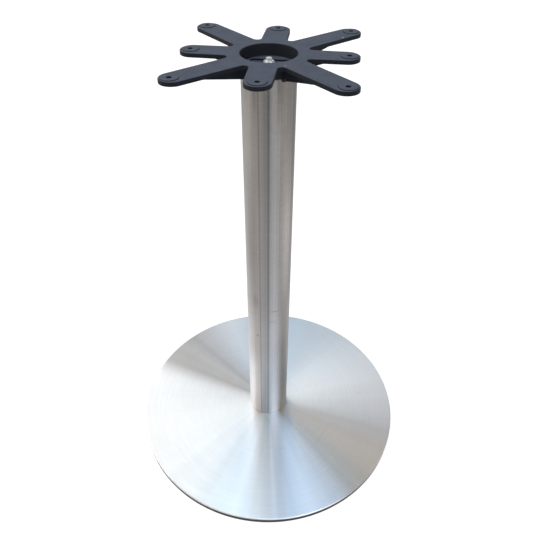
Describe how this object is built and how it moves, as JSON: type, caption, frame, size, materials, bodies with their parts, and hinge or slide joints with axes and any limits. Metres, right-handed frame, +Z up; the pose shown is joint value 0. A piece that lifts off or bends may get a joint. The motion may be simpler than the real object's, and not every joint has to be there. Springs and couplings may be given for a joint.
{
  "type": "pedestal table base",
  "caption": "Round weighted foot with a brushed steel cover, a tube column and a cast bracket with radiating arms that screws to the underside of a table top.",
  "frame": {"origin": "centre of the round foot on the floor", "axes": "+Z up along the column; +X and +Y along the bracket's short arms, with the long arms on the diagonals"},
  "size_m": [0.52, 0.52, 0.744],
  "materials": {
    "edge_rubber": "matt black rubber",
    "plate_paint": "black paint on steel plate",
    "zinc": "bright zinc plate",
    "turned_steel": "turned steel",
    "cover_steel": "stainless steel with a circular brushed grain",
    "column_steel": "stainless steel with a brushed grain round the tube",
    "spider_coating": "casting with a fine dark blue-grey powder coat"
  },
  "bodies": {
    "root": {"edge_ring": "edge_rubber", "weight_plate": "plate_paint", "flange_screws": "zinc", "centring_flange": "turned_steel", "base_cover": "cover_steel", "column": "column_steel", "tie_rod": "zinc", "rod_lock_nut": "zinc", "top_spider": "spider_coating", "top_washer": "zinc", "top_nut": "zinc"}
  },
  "joints": []
}
